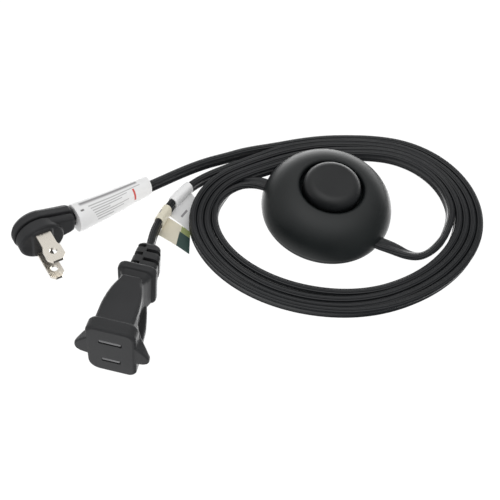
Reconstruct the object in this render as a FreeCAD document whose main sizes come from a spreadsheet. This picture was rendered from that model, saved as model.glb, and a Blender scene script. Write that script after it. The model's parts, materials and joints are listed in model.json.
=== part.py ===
import FreeCAD, Part
import math
import os
import re

import Sketcher
from FreeCAD import Placement, Rotation, Vector

# A lamp foot switch on a two-wire cord set: a round floor switch with a push button, its flat
# cord wound round it in an oval coil, a flat right-angle plug and a two-slot outlet connector.
# Millimetres. The origin is on the floor under the middle of the switch, Z is up, and the cord
# passes through the switch along X.

SIZES = {
    # housing
    "body_d": 62.0,
    "rubber_gap": 0.8,
    "floor_t": 1.8,
    "parting_z": 3.8,
    "base_step": 0.4,
    "base_bevel": 0.8,
    "spigot_gap": 0.4,
    "spigot_wall": 1.5,
    "spigot_rise": 1.4,
    "cover_wall": 2.4,
    "cover_top": 20.0,
    "cover_round": 16.3,
    "roof_wall": 2.8,
    "moat_w": 1.5,
    "well_lip": 1.2,
    "well_depth": 3.6,
    "ledge_t": 2.2,
    "guide_wall": 2.0,
    # push button
    "button_d": 26.6,
    "button_top": 24.0,
    "button_round": 4.6,
    "button_wall": 2.0,
    "crown_t": 2.5,
    "flange_w": 2.1,
    "flange_t": 2.0,
    "slide_gap": 0.3,
    "stop_gap": 0.1,
    # cord and its way through the housing
    "cord_w": 6.7,
    "cord_t": 3.3,
    "channel_y": 6.0,
    "notch_gap": 0.1,
    "cord_past": 0.9,
    "conductor_d": 2.8,
    "wire_d": 1.8,
    # housing screws and rubber feet
    "screw_inset": 8.5,
    "boss_d": 5.6,
    "boss_z": 4.6,
    "boss_under": 6.6,
    "screw_d": 2.6,
    "screw_gap": 0.3,
    "screw_head_d": 5.0,
    "screw_head_t": 1.4,
    "screw_bite": 5.5,
    "head_gap": 0.2,
    "driver_w": 0.8,
    "driver_depth": 0.6,
    "pad_inset": 8.2,
    "pad_d": 8.0,
    "pad_seat": 0.4,
    # cord clamps
    "clamp_gap": 2.5,
    "clamp_side": 0.25,
    "clamp_w": 3.2,
    "clamp_t": 1.5,
    "clamp_post_d": 3.2,
    "clamp_screw_d": 1.6,
    "clamp_head_d": 3.0,
    "clamp_head_t": 0.9,
    "clamp_bite": 2.5,
    # ratchet rotor and its bearings
    "axle_z": 8.5,
    "axle_d": 2.4,
    "bearing_gap": 0.3,
    "tooth_tip_r": 5.2,
    "tooth_root_r": 3.9,
    "ratchet_w": 2.4,
    "cam_r": 4.4,
    "cam_flat": 3.4,
    "cam_w": 2.4,
    "rotor_split": 0.2,
    "rotor_gap": 0.6,
    "post_w": 1.8,
    "post_len": 4.4,
    "post_over": 2.5,
    # driving pawl
    "pawl_t": 0.4,
    "pawl_w": 2.0,
    "pawl_gap": 0.4,
    "pawl_foot": 1.1,
    "pawl_clear": 0.3,
    "pawl_tab": 4.0,
    # return springs
    "spring_gap": 0.3,
    "spring_d": 3.8,
    "spring_wire": 0.8,
    "spring_turns": 7.0,
    "peg_gap": 0.3,
    "base_peg": 6.0,
    "button_peg": 5.0,
    # contact strips
    "strip_t": 0.4,
    "strip_w": 2.0,
    "strip_over": 2.0,
    "strip_end_x": 14.0,
    "leaf_gap": 0.2,
    "contact_space": 1.6,
    "contact_d": 1.6,
    "leaf_point": 0.4,
    "fixed_point": 0.8,
    # plug
    "plug_height": 21.0,
    "plug_plate_t": 5.4,
    "plug_boss_d": 20.0,
    "plug_boss_t": 5.9,
    "plug_right": 17.0,
    "plug_neck": 12.0,
    "plug_corner": 3.0,
    "blade_pitch": 12.7,
    "blade_t": 1.5,
    "blade_w": 6.35,
    "blade_wide_w": 7.94,
    "blade_len": 15.9,
    "blade_tail": 5.0,
    "blade_tip": 1.8,
    "blade_hole_d": 3.2,
    "blade_hole_y": 10.9,
    # connector
    "head_w": 20.0,
    "head_height": 30.0,
    "head_t": 6.0,
    "head_round": 3.0,
    "wing_reach": 4.0,
    "wing_height": 14.0,
    "wing_root": 1.0,
    "wing_back": 1.0,
    "plate_t": 6.5,
    "plate_w": 17.0,
    "plate_run": 8.0,
    "waist_w": 10.0,
    "neck_height": 16.0,
    "web_wall": 0.6,
    "web_inset": 1.0,
    "collar_y": 33.5,
    "collar_w": 15.5,
    "collar_height": 22.0,
    "collar_t": 3.0,
    "collar_round": 3.0,
    "relief_w": 10.6,
    "relief_height": 12.0,
    "relief_len": 15.0,
    "relief_round": 2.5,
    "relief_tip": 0.9,
    "relief_cut": 1.2,
    "relief_cut_depth": 2.6,
    "slot_w": 2.2,
    "slot_len_wide": 8.6,
    "slot_len": 7.0,
    "slot_depth": 18.0,
    "clip_t": 0.6,
    "clip_len": 12.0,
    "clip_back": 1.0,
    # labels
    "sleeve_w": 7.4,
    "sleeve_height": 11.6,
    "sleeve_len": 36.0,
    "sleeve_t": 0.3,
    "sleeve_at": 89.6,
    "tag_len": 12.0,
    "tag_height": 9.0,
    "white_at": 31.7,
    "white_flag": 5.0,
    "cream_at": 46.3,
    "cream_flag": 13.0,
    # coil of cord round the switch
    "coil_major": 70.0,
    "coil_minor": 50.7,
    "coil_inner_major": 56.3,
    "coil_inner_minor": 41.3,
}

TEETH = 8
SCREW_TURN = 55
PAD_TURN = 23.2

# Where the coil lies, and how the plug and the connector stand on the floor.
COIL_CENTRE = (8.0, -2.0)
COIL_INNER_CENTRE = (6.0, -1.0)
COIL_TURN = 40.0
PLUG_FACE = (-91.9, -92.5)
PLUG_TURN = 64.5
PLUG_ROLL = 7.0
CONNECTOR_FACE = (-34.1, -121.6)
CONNECTOR_TURN = 19.0

# The cord's uncoiled stretches, as points along its middle. The first two start inside the housing
# and stay level.
LEFT_LEAD = [(-29.0, -6.0), (-37.0, -9.5), (-42.5, -18.5), (-44.0, -29.0)]
RIGHT_LEAD = [(33.0, -5.7), (44.0, -5.0), (51.5, 0.0), (55.0, 9.5)]
PLUG_LEAD = [(-38.0, 21.0, 3.4), (-50.0, 4.5, 3.4), (-62.0, -15.5, 3.5), (-73.0, -38.0, 3.8),
             (-82.5, -58.0, 5.5), (-90.0, -74.9, 8.4)]
CONNECTOR_LEAD = [(-45.2, 4.7, 3.4), (-52.5, -10.0, 3.4), (-58.5, -27.0, 3.5), (-61.3, -42.0, 4.5),
                  (-58.5, -56.0, 7.0), (-51.5, -71.2, 9.0)]

# How far along the connector's lead each tag sits, and how far its flag reaches.
TAGS = {"white_tag": ("white_at", "white_flag"), "cream_tag": ("cream_at", "cream_flag")}

# Where the wires inside the housing turn, on their way past the works.
NEUTRAL_TURN = (11.0, -12.5)
LINE_TURN = (14.0, -1.5)
LINE_END_X = 11.0
WIRE_LIFT = 0.4

doc = FreeCAD.newDocument("lamp_foot_switch")
sheet = doc.addObject("Spreadsheet::Sheet", "dims")
for row, (alias, size) in enumerate(SIZES.items(), start=1):
    sheet.set(f"A{row}", alias)
    sheet.set(f"B{row}", str(size))
    sheet.setAlias(f"B{row}", alias)
probe = doc.addObject("App::Placement", "probe")
doc.recompute()
pieces = []


# Helpers


def bound(text):
    """An expression of the sheet's names, as the document writes it."""
    return re.sub(r"[a-z]\w*", lambda m: "dims." + m.group() if m.group() in SIZES else m.group(), text)


def value(text):
    """What an expression of the sheet's names comes to."""
    probe.setExpression("Placement.Base.x", bound(text))
    doc.recompute([probe])
    return probe.Placement.Base.x


def bind(thing, **sizes):
    for name, text in sizes.items():
        thing.setExpression(name, bound(text))


def put(thing, x="0", y="0", z="0"):
    for axis, text in zip("xyz", (x, y, z)):
        thing.setExpression(f"Placement.Base.{axis}", bound(text))
    return thing


def keep(thing, label):
    """Marks an object as a finished piece, which is written under its label."""
    thing.Label = label
    pieces.append(thing)
    return thing


def new_body(label):
    return keep(doc.addObject("PartDesign::Body", label), label)


def sketch(body, plane, offset="0"):
    drawn = body.newObject("Sketcher::SketchObject", f"{body.Name}_sketch")
    origin = next(f for f in body.Origin.OriginFeatures if f.Role == plane)
    drawn.AttachmentSupport = [(origin, "")]
    drawn.MapMode = "FlatFace"
    drawn.setExpression("AttachmentOffset.Base.z", bound(offset))
    return drawn


def fix_point(drawn, edge, end, x, y):
    for kind, text in (("DistanceX", x), ("DistanceY", y)):
        number = drawn.addConstraint(Sketcher.Constraint(kind, -1, 1, edge, end, value(text)))
        drawn.setExpression(f"Constraints[{number}]", bound(text))


def arc_between(a, b, radius, side):
    """A short arc from a to b, with its centre on the left of that way if side is 1, else right."""
    along = b - a
    left = Vector(-along.y, along.x, 0).normalize()
    centre = (a + b) / 2 + left * side * math.sqrt(radius**2 - (along.Length / 2) ** 2)
    first, last = (a, b) if side > 0 else (b, a)
    start = math.atan2(first.y - centre.y, first.x - centre.x)
    stop = math.atan2(last.y - centre.y, last.x - centre.x)
    if stop < start:
        stop += 2 * math.pi
    return Part.ArcOfCircle(Part.Circle(centre, Vector(0, 0, 1), radius), start, stop)


def outline(drawn, corners):
    """A closed outline. A corner is (x, y), or (x, y, radius, side) where the next edge is an arc."""
    points = [Vector(value(x), value(y), 0) for x, y, *_ in corners]
    edges = []
    for a, b, (_, _, *arc) in zip(points, points[1:] + points[:1], corners):
        if not arc:
            edges.append((drawn.addGeometry(Part.LineSegment(a, b), False), 1, 2))
            continue
        radius, side = arc
        edge = drawn.addGeometry(arc_between(a, b, value(radius), side), False)
        edges.append((edge, 1, 2) if side > 0 else (edge, 2, 1))
    for (edge, _, end), (following, start, _) in zip(edges, edges[1:] + edges[:1]):
        drawn.addConstraint(Sketcher.Constraint("Coincident", edge, end, following, start))
    for (edge, start, _), (x, y, *arc) in zip(edges, corners):
        fix_point(drawn, edge, start, x, y)
        if arc:
            radius, _ = arc
            number = drawn.addConstraint(Sketcher.Constraint("Radius", edge, value(radius)))
            drawn.setExpression(f"Constraints[{number}]", bound(radius))
    return drawn


def circle(drawn, x, y, diameter):
    round_edge = Part.Circle(Vector(value(x), value(y), 0), Vector(0, 0, 1), value(diameter) / 2)
    edge = drawn.addGeometry(round_edge, False)
    fix_point(drawn, edge, 3, x, y)
    number = drawn.addConstraint(Sketcher.Constraint("Diameter", edge, value(diameter)))
    drawn.setExpression(f"Constraints[{number}]", bound(diameter))
    return drawn


def rectangle(drawn, left, right, low, high):
    return outline(drawn, [(left, low), (right, low), (right, high), (left, high)])


def rounded(drawn, half_w, low, high, radius):
    """A rectangle from -half_w to half_w with quarter-round corners."""
    right, left = f"({half_w})", f"-({half_w})"
    return outline(drawn, [
        (f"{left} + {radius}", low), (f"{right} - {radius}", low, radius, 1),
        (right, f"{low} + {radius}"), (right, f"{high} - {radius}", radius, 1),
        (f"{right} - {radius}", high), (f"{left} + {radius}", high, radius, 1),
        (left, f"{high} - {radius}"), (left, f"{low} + {radius}", radius, 1),
    ])


def revolve(body, drawn):
    turned = body.newObject("PartDesign::Revolution", f"{body.Name}_turned")
    turned.Profile = drawn
    turned.ReferenceAxis = (drawn, ["V_Axis"])
    turned.Angle = 360
    doc.recompute()
    return turned


def pad(body, drawn, length, back=False):
    grown = body.newObject("PartDesign::Pad", f"{body.Name}_pad")
    grown.Profile = drawn
    grown.Reversed = back
    grown.setExpression("Length", bound(length))
    doc.recompute()
    return grown


def pocket(body, drawn, length, back=False):
    """Cuts a sketch into the body, against the sketch's normal, or along it if back is set."""
    before = body.Shape.Volume
    hollow = body.newObject("PartDesign::Pocket", f"{body.Name}_pocket")
    hollow.Profile = drawn
    hollow.Reversed = back
    hollow.setExpression("Length", bound(length))
    doc.recompute()
    if body.Shape.Volume > before - 0.01:
        raise ValueError(f"a pocket of {body.Label} cuts nothing")
    return hollow


def box(name, dx, dy, dz, x, y, z):
    made = doc.addObject("Part::Box", name)
    bind(made, Length=dx, Width=dy, Height=dz)
    return put(made, x, y, z)


def cylinder(name, diameter, height, x="0", y="0", z="0"):
    made = doc.addObject("Part::Cylinder", name)
    bind(made, Radius=f"({diameter}) / 2", Height=height)
    return put(made, x, y, z)


def fuse(name, *things):
    made = doc.addObject("Part::MultiFuse", name)
    made.Shapes = list(things)
    return made


def cut(name, base, tool):
    made = doc.addObject("Part::Cut", name)
    made.Base = base
    made.Tool = tool
    return made


def corners_of(radius, turn):
    """Four places on a circle, each the given angle from the X axis."""
    x, y = f"{radius} * cos({turn} deg)", f"{radius} * sin({turn} deg)"
    return [(f"{sx}{x}", f"{sy}{y}") for sx in ("", "-") for sy in ("", "-")]


# Heights, radii and places that several pieces share

BASE_R = "body_d / 2 - base_step"
FLOOR_Z = "(rubber_gap + floor_t)"
WELL_R = "(button_d / 2 + moat_w)"
LEDGE_Z = "(cover_top - well_depth - ledge_t)"
FLANGE_Z = f"({LEDGE_Z} - stop_gap)"
CROWN_Z = "(button_top - crown_t)"
SPIGOT_R = "(body_d / 2 - cover_wall - spigot_gap)"
CORD_TOP = "(parting_z + cord_t)"
CORD_SIDES = ("-channel_y - cord_w / 2 - notch_gap", "-channel_y + cord_w / 2 + notch_gap")
SCREWS = corners_of("(body_d / 2 - screw_inset)", SCREW_TURN)
PADS = corners_of("(body_d / 2 - pad_inset)", PAD_TURN)
CLAMP_X = "(button_d / 2 + flange_w + clamp_gap + clamp_w / 2)"
CORD_END_X = f"({CLAMP_X} - clamp_w / 2 - cord_past)"
CLAMP_REACH = "(cord_w / 2 + clamp_side + clamp_post_d / 2)"
CLAMP_PLACES = [
    (f"{side}{CLAMP_X}", f"-channel_y {hand} {CLAMP_REACH}") for side in ("", "-") for hand in "+-"]
POST_SIDES = ("(rotor_split + cam_w + rotor_gap)", "-(rotor_split + ratchet_w + rotor_gap)")
SPRING_SPACE = "(post_w + spring_gap + (spring_d + spring_wire) / 2)"
SPRING_SIDES = (f"{POST_SIDES[0]} + {SPRING_SPACE}", f"{POST_SIDES[1]} - {SPRING_SPACE}")
PEG_D = "(spring_d - spring_wire - 2 * peg_gap)"
PAWL_X = "(tooth_tip_r + pawl_gap)"
PAWL_FOOT_Z = f"(axle_z + tooth_tip_r * sin({180 / TEETH} deg) + pawl_clear)"
LEAF_X = "(cam_r + leaf_gap)"
STRIP_Y = "(rotor_split + cam_w / 2)"


# Housing


def top_cover():
    body = new_body("top_cover")
    outline(profile := sketch(body, "XZ_Plane"), [
        ("body_d / 2", "parting_z", "cover_round", 1),
        (f"{WELL_R} + well_lip", "cover_top", "well_lip", 1),
        (WELL_R, "cover_top - well_lip"),
        (WELL_R, "cover_top - well_depth"),
        ("button_d / 2 + slide_gap", "cover_top - well_depth"),
        ("button_d / 2 + slide_gap", LEDGE_Z),
        (f"{WELL_R} + guide_wall", LEDGE_Z),
        (f"{WELL_R} + guide_wall", "cover_top - roof_wall", "cover_round - cover_wall", -1),
        ("body_d / 2 - cover_wall", "parting_z"),
    ])
    revolve(body, profile)
    bosses = sketch(body, "XY_Plane", "boss_z")
    for x, y in SCREWS:
        circle(bosses, x, y, "boss_d")
    pad(body, bosses, "cover_top - boss_under - boss_z")
    holes = sketch(body, "XY_Plane", "boss_z")
    for x, y in SCREWS:
        circle(holes, x, y, "screw_d")
    pocket(body, holes, "screw_bite", back=True)
    for side in ("", "-"):
        notch = sketch(body, "XY_Plane", "parting_z")
        ends = (f"{side}(body_d / 2 - 2 * cover_wall)", f"{side}(body_d / 2 + cover_wall)")
        rectangle(notch, *ends, *CORD_SIDES)
        pocket(body, notch, "cord_t + notch_gap", back=True)


def base_plate():
    body = new_body("base_plate")
    outline(profile := sketch(body, "XZ_Plane"), [
        ("0", "rubber_gap"),
        (f"{BASE_R} - base_bevel", "rubber_gap"),
        (BASE_R, "rubber_gap + base_bevel"),
        (BASE_R, "parting_z"),
        (SPIGOT_R, "parting_z"),
        (SPIGOT_R, "parting_z + spigot_rise"),
        (f"{SPIGOT_R} - spigot_wall", "parting_z + spigot_rise"),
        (f"{SPIGOT_R} - spigot_wall", FLOOR_Z),
        ("0", FLOOR_Z),
    ])
    revolve(body, profile)
    base_bosses(body)
    bearing_posts(body)
    for x, y in SCREWS:
        hole = circle(sketch(body, "XY_Plane", "boss_z"), x, y, "screw_d + 2 * screw_gap")
        pocket(body, hole, "boss_z")
        head = circle(sketch(body, "XY_Plane", "rubber_gap"), x, y, "screw_head_d + 2 * head_gap")
        pocket(body, head, "head_gap + screw_head_t", back=True)
    for x, y in PADS:
        seat = circle(sketch(body, "XY_Plane", "rubber_gap"), x, y, "pad_d")
        pocket(body, seat, "pad_seat", back=True)
    for x, y in CLAMP_PLACES:
        hole = circle(sketch(body, "XY_Plane", CORD_TOP), x, y, "clamp_screw_d")
        pocket(body, hole, "clamp_bite")
    for side in ("", "-"):
        way = sketch(body, "XY_Plane", "parting_z")
        ends = (f"{side}({SPIGOT_R} - 3 * spigot_wall)", f"{side}({SPIGOT_R} + spigot_wall)")
        rectangle(way, *ends, *CORD_SIDES)
        pocket(body, way, "spigot_rise", back=True)


def base_bosses(body):
    """Round posts on the base: for the housing screws, the springs and the cord clamps."""
    bosses = sketch(body, "XY_Plane", FLOOR_Z)
    for x, y in SCREWS:
        circle(bosses, x, y, "boss_d")
    pad(body, bosses, f"boss_z - {FLOOR_Z}")
    pegs = sketch(body, "XY_Plane", FLOOR_Z)
    for y in SPRING_SIDES:
        circle(pegs, "0", y, PEG_D)
    pad(body, pegs, "base_peg")
    clamp_posts = sketch(body, "XY_Plane", FLOOR_Z)
    for x, y in CLAMP_PLACES:
        circle(clamp_posts, x, y, "clamp_post_d")
    pad(body, clamp_posts, f"{CORD_TOP} - {FLOOR_Z}")


def bearing_posts(body):
    """Two posts, one each side of the rotor, bored for its axle."""
    posts = sketch(body, "XY_Plane", FLOOR_Z)
    for near, hand in zip(POST_SIDES, "+-"):
        rectangle(posts, "-post_len / 2", "post_len / 2", near, f"{near} {hand} post_w")
    pad(body, posts, f"axle_z + post_over - {FLOOR_Z}")
    bore = sketch(body, "XZ_Plane", f"-({POST_SIDES[1]} - post_w)")
    circle(bore, "0", "axle_z", "axle_d + 2 * bearing_gap")
    pocket(body, bore, f"{POST_SIDES[0]} - ({POST_SIDES[1]}) + 2 * post_w")


def housing_screws():
    head_z = "(rubber_gap + head_gap)"
    shank_len = f"boss_z + screw_bite - 2 * stop_gap - {head_z}"
    for n, (x, y) in enumerate(SCREWS, start=1):
        head = cylinder("screw_head", "screw_head_d", "screw_head_t", x, y, head_z)
        shank = cylinder("screw_shank", "screw_d", shank_len, x, y, head_z)
        slot = box("screw_slot", "screw_head_d", "driver_w", "driver_depth", f"{x} - screw_head_d / 2",
                   f"{y} - driver_w / 2", head_z)
        keep(cut("screw", fuse("screw_blank", head, shank), slot), f"housing_screw_{n}")


def rubber_feet():
    for n, (x, y) in enumerate(PADS, start=1):
        keep(cylinder("rubber", "pad_d", "rubber_gap + pad_seat", x, y), f"rubber_foot_{n}")


def cord_clamps():
    half = f"({CLAMP_REACH} + clamp_post_d / 2)"
    for n, side in enumerate(("-", ""), start=1):
        bar = box("clamp_bar", "clamp_w", f"2 * {half}", "clamp_t", f"{side}{CLAMP_X} - clamp_w / 2",
                  f"-channel_y - {half}", CORD_TOP)
        holes = [cylinder("clamp_hole", "clamp_screw_d", "clamp_t", f"{side}{CLAMP_X}",
                          f"-channel_y {hand} {CLAMP_REACH}", CORD_TOP) for hand in "+-"]
        keep(cut("clamp", bar, fuse("clamp_holes", *holes)), f"cord_clamp_{n}")
    for n, (x, y) in enumerate(CLAMP_PLACES, start=1):
        shank = cylinder("clamp_shank", "clamp_screw_d", "clamp_bite + clamp_t", x, y,
                         f"{CORD_TOP} - clamp_bite")
        head = cylinder("clamp_head", "clamp_head_d", "clamp_head_t", x, y, f"{CORD_TOP} + clamp_t")
        keep(fuse("clamp_screw", shank, head), f"clamp_screw_{n}")


# Push button and its works


def foot_button():
    body = new_body("foot_button")
    outline(profile := sketch(body, "XZ_Plane"), [
        ("0", CROWN_Z),
        ("button_d / 2 - button_wall", CROWN_Z),
        ("button_d / 2 - button_wall", f"{FLANGE_Z} - flange_t"),
        ("button_d / 2 + flange_w", f"{FLANGE_Z} - flange_t"),
        ("button_d / 2 + flange_w", FLANGE_Z),
        ("button_d / 2", FLANGE_Z),
        ("button_d / 2", "button_top - button_round", "button_round", 1),
        ("button_d / 2 - button_round", "button_top"),
        ("0", "button_top"),
    ])
    revolve(body, profile)
    pegs = sketch(body, "XY_Plane", CROWN_Z)
    for y in SPRING_SIDES:
        circle(pegs, "0", y, PEG_D)
    pad(body, pegs, "button_peg", back=True)


def button_springs():
    """Two coil springs between the base and the button, each on a pair of pegs."""
    radius, wire = value("spring_d / 2"), value("spring_wire")
    low, high = value(f"{FLOOR_Z} + spring_wire / 2"), value(f"{CROWN_Z} - spring_wire / 2")
    helix = Part.makeHelix((high - low) / value("spring_turns"), high - low, radius)
    section = Part.Wire(Part.makeCircle(wire / 2, Vector(radius, 0, 0), Vector(0, 1, 0)))
    spring = Part.Wire(helix).makePipeShell([section], True, True)
    for n, y in enumerate(SPRING_SIDES, start=1):
        made = keep(doc.addObject("Part::Feature", "spring"), f"button_spring_{n}")
        made.Shape = spring
        made.Placement.Base = Vector(0, value(y), low)


def drive_pawl():
    body = new_body("drive_pawl")
    outer = f"({PAWL_X} + pawl_t)"
    outline(shape := sketch(body, "XZ_Plane", "rotor_split + (ratchet_w - pawl_w) / 2"), [
        (f"{PAWL_X} - pawl_foot", PAWL_FOOT_Z),
        (outer, PAWL_FOOT_Z),
        (outer, CROWN_Z),
        (f"{outer} - pawl_tab", CROWN_Z),
        (f"{outer} - pawl_tab", f"{CROWN_Z} - pawl_t"),
        (PAWL_X, f"{CROWN_Z} - pawl_t"),
        (PAWL_X, f"{PAWL_FOOT_Z} + pawl_t"),
        (f"{PAWL_X} - pawl_foot", f"{PAWL_FOOT_Z} + pawl_t"),
    ])
    pad(body, shape, "pawl_w")


def ratchet_rotor():
    """A toothed ratchet wheel and a four-lobed cam on one axle, which lies along Y."""
    tip, root = value("tooth_tip_r"), value("tooth_root_r")
    corners = []
    for n in reversed(range(TEETH)):
        face = (n + 0.5) * 2 * math.pi / TEETH
        corners += [Vector(r * math.cos(face), 0, r * math.sin(face)) for r in (root, tip)]
    wheel = doc.addObject("Part::Feature", "ratchet_wheel")
    side = Part.Face(Part.makePolygon(corners + corners[:1]))
    wheel.Shape = side.extrude(Vector(0, -value("ratchet_w"), 0))
    put(wheel, "0", "-rotor_split", "axle_z")
    cam_square = box("cam_square", "2 * cam_flat", "cam_w", "2 * cam_flat", "-cam_flat", "rotor_split",
                     "axle_z - cam_flat")
    cam = doc.addObject("Part::Common", "cam")
    cam.Base = cam_square
    cam.Tool = across("cam_round", "2 * cam_r", "cam_w", "rotor_split")
    hub = across("hub", "axle_d", "2 * rotor_split", "-rotor_split")
    axle_ends = [across("axle_end", "axle_d", f"{space} + post_w", start) for space, start in (
        (POST_SIDES[0], "0"), (f"-{POST_SIDES[1]}", f"{POST_SIDES[1]} - post_w"))]
    keep(fuse("rotor", wheel, cam, hub, *axle_ends), "ratchet_rotor")


def across(name, diameter, length, start_y):
    """A cylinder along Y at the height of the rotor's axle."""
    made = cylinder(name, diameter, length, "0", start_y, "axle_z")
    made.Placement.Rotation = Rotation(Vector(1, 0, 0), -90)
    return made


def contacts():
    """The sprung leaf by the cam and the fixed strip beside it, each bent up from a foot on the base."""
    low, step, top = FLOOR_Z, f"{FLOOR_Z} + strip_t", "axle_z + strip_over"
    leaf_near, leaf_far = f"-{LEAF_X}", f"(-{LEAF_X} - strip_t)"
    fixed_near = f"({leaf_far} - contact_space)"
    fixed_far = f"({fixed_near} - strip_t)"
    leaf = [(leaf_far, low), ("strip_end_x", low), ("strip_end_x", step), (leaf_near, step),
            (leaf_near, top), (leaf_far, top)]
    fixed = [("-strip_end_x", low), (fixed_near, low), (fixed_near, top), (fixed_far, top),
             (fixed_far, step), ("-strip_end_x", step)]
    strips = {"moving_contact": (leaf, leaf_far, "leaf_point", True),
              "fixed_contact": (fixed, fixed_near, "fixed_point", False)}
    for name, (corners, face, reach, back) in strips.items():
        body = new_body(name)
        pad(body, outline(sketch(body, "XZ_Plane", f"-{STRIP_Y} - strip_w / 2"), corners), "strip_w")
        point = circle(sketch(body, "YZ_Plane", face), STRIP_Y, "axle_z", "contact_d")
        pad(body, point, reach, back=back)


def conductors():
    """The neutral wire that runs through, and the two ends of the cut line wire."""
    end, lobe, middle = value(CORD_END_X), value("cord_w / 4"), -value("channel_y")
    height, low = value("parting_z + cord_t / 2"), value(f"{FLOOR_Z} + conductor_d / 2 + stop_gap")
    turn_x, turn_y = NEUTRAL_TURN
    neutral = [(-end, middle - lobe, height), (-turn_x, turn_y, low), (turn_x, turn_y, low),
               (end, middle - lobe, height)]
    keep_tube("neutral_conductor", neutral, value("conductor_d"))
    strip_y, strip_z = value(STRIP_Y), value(f"{FLOOR_Z} + strip_t + wire_d / 2")
    turn_x, turn_y = LINE_TURN
    for n, side in enumerate((-1, 1), start=1):
        line = [(side * end, middle + lobe, height), (side * turn_x, turn_y, strip_z + WIRE_LIFT),
                (side * LINE_END_X, strip_y, strip_z)]
        keep_tube(f"line_conductor_{n}", line, value("wire_d"))


# Cord stretches


def route(points):
    """Straight runs through the points, with an arc at each corner; returns the wire and its radii."""
    run_share = 0.45
    spots = [Vector(*p) for p in points]
    edges, radii, start = [], [], spots[0]
    for before, corner, after in zip(spots, spots[1:], spots[2:]):
        back, on = (before - corner), (after - corner)
        setback = run_share * min(back.Length, on.Length)
        half_turn = (math.pi - back.getAngle(on)) / 2
        radii.append(setback / math.tan(half_turn))
        enter, leave = corner + back.normalize() * setback, corner + on.normalize() * setback
        bulge = radii[-1] * (1 / math.cos(half_turn) - 1)
        middle = corner + (enter + leave - corner * 2).normalize() * bulge
        edges += [Part.makeLine(start, enter), Part.Arc(enter, middle, leave).toShape()]
        start = leave
    edges.append(Part.makeLine(start, spots[-1]))
    return Part.Wire(edges), radii


def report_route(name, wire, radii, shape, area):
    print(f"{name}: {wire.Length:.1f} mm long, radii {[round(r, 1) for r in radii]},",
          f"volume {shape.Volume / (area * wire.Length):.3f} of section times length")


def keep_tube(label, points, diameter):
    """A round wire along the points."""
    wire, radii = route(points)
    along = wire.OrderedEdges[0].tangentAt(wire.OrderedEdges[0].FirstParameter)
    ring = Part.Wire(Part.makeCircle(diameter / 2, Vector(*points[0]), along))
    made = keep(doc.addObject("Part::Feature", label), label)
    made.Shape = wire.makePipeShell([ring], True, False)
    report_route(label, wire, radii, made.Shape, math.pi * diameter**2 / 4)


def flat_section(at, along, width, thick, upright):
    """A round-edged flat section across the way along, standing on edge if upright."""
    level = Vector(-along.y, along.x, 0).normalize()
    wide, thin = (Vector(0, 0, 1), level) if upright else (level, Vector(0, 0, 1))
    reach, half = wide * (width - thick) / 2, thin * thick / 2
    tip = wide * width / 2
    return Part.Wire([
        Part.makeLine(at - reach + half, at + reach + half),
        Part.Arc(at + reach + half, at + tip, at + reach - half).toShape(),
        Part.makeLine(at + reach - half, at - reach - half),
        Part.Arc(at - reach - half, at - tip, at - reach + half).toShape(),
    ])


def swept_flat(points, width, thick, upright):
    wire, radii = route(points)
    sweep = Part.BRepOffsetAPI.MakePipeShell(wire)
    sweep.setBiNormalMode(Vector(0, 0, 1))
    start, following = Vector(*points[0]), Vector(*points[1])
    sweep.add(flat_section(start, following - start, width, thick, upright))
    sweep.build()
    sweep.makeSolid()
    return sweep.shape(), wire, radii


def lead_from_housing(side, points):
    """A lead that starts at its clamp and stays at the height at which it leaves the housing."""
    height = value("parting_z + cord_t / 2")
    start = (side * value(CORD_END_X), -value("channel_y"))
    return [(x, y, height) for x, y in [start] + points]


def cord_leads():
    width, thick = value("cord_w"), value("cord_t")
    area = (width - thick) * thick + math.pi * thick**2 / 4
    leads = {
        "cord_left": (lead_from_housing(-1, LEFT_LEAD), False),
        "cord_right": (lead_from_housing(1, RIGHT_LEAD), False),
        "cord_to_plug": (PLUG_LEAD, True),
        "cord_to_connector": (CONNECTOR_LEAD, True),
    }
    for label, (points, upright) in leads.items():
        made = keep(doc.addObject("Part::Feature", label), label)
        made.Shape, wire, radii = swept_flat(points, width, thick, upright)
        report_route(label, wire, radii, made.Shape, area)


def oval(name, major, minor, centre):
    """An upright oval drum as tall as the cord is wide."""
    edge = doc.addObject("Part::Ellipse", f"{name}_edge")
    bind(edge, MajorRadius=major, MinorRadius=minor)
    edge.Placement = Placement(Vector(*centre, 0), Rotation(Vector(0, 0, 1), COIL_TURN))
    drum = doc.addObject("Part::Extrusion", name)
    drum.Base = edge
    drum.DirMode = "Custom"
    drum.Dir = Vector(0, 0, 1)
    drum.Solid = True
    drum.setExpression("LengthFwd", bound("cord_w"))
    return drum


def coil():
    outside = oval("coil_outside", "coil_major", "coil_minor", COIL_CENTRE)
    inside = oval("coil_inside", "coil_inner_major", "coil_inner_minor", COIL_INNER_CENTRE)
    keep(cut("coil", outside, inside), "cord_coil")


# Plug

PLUG_MID = "plug_height / 2"
PLUG_DEPTH = "(plug_boss_t + plug_plate_t)"
BLADE_ENDS = {"plug_blade_neutral": ("+", "blade_wide_w"), "plug_blade_line": ("-", "blade_w")}


def stand(body, face, turn, lie):
    """Stands a piece, built with its face towards -Y, on the floor at its face's place, as it lies there."""
    body.Placement = Placement(Vector(*face, 0), Rotation(Vector(0, 0, 1), turn)) * lie


def stand_plug(body):
    """The plug lies rolled over on its round end, with its cord's end low."""
    roll = Placement(Vector(), Rotation(Vector(0, 1, 0), PLUG_ROLL), Vector(0, 0, value(PLUG_MID)))
    stand(body, PLUG_FACE, PLUG_TURN, roll)


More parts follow.
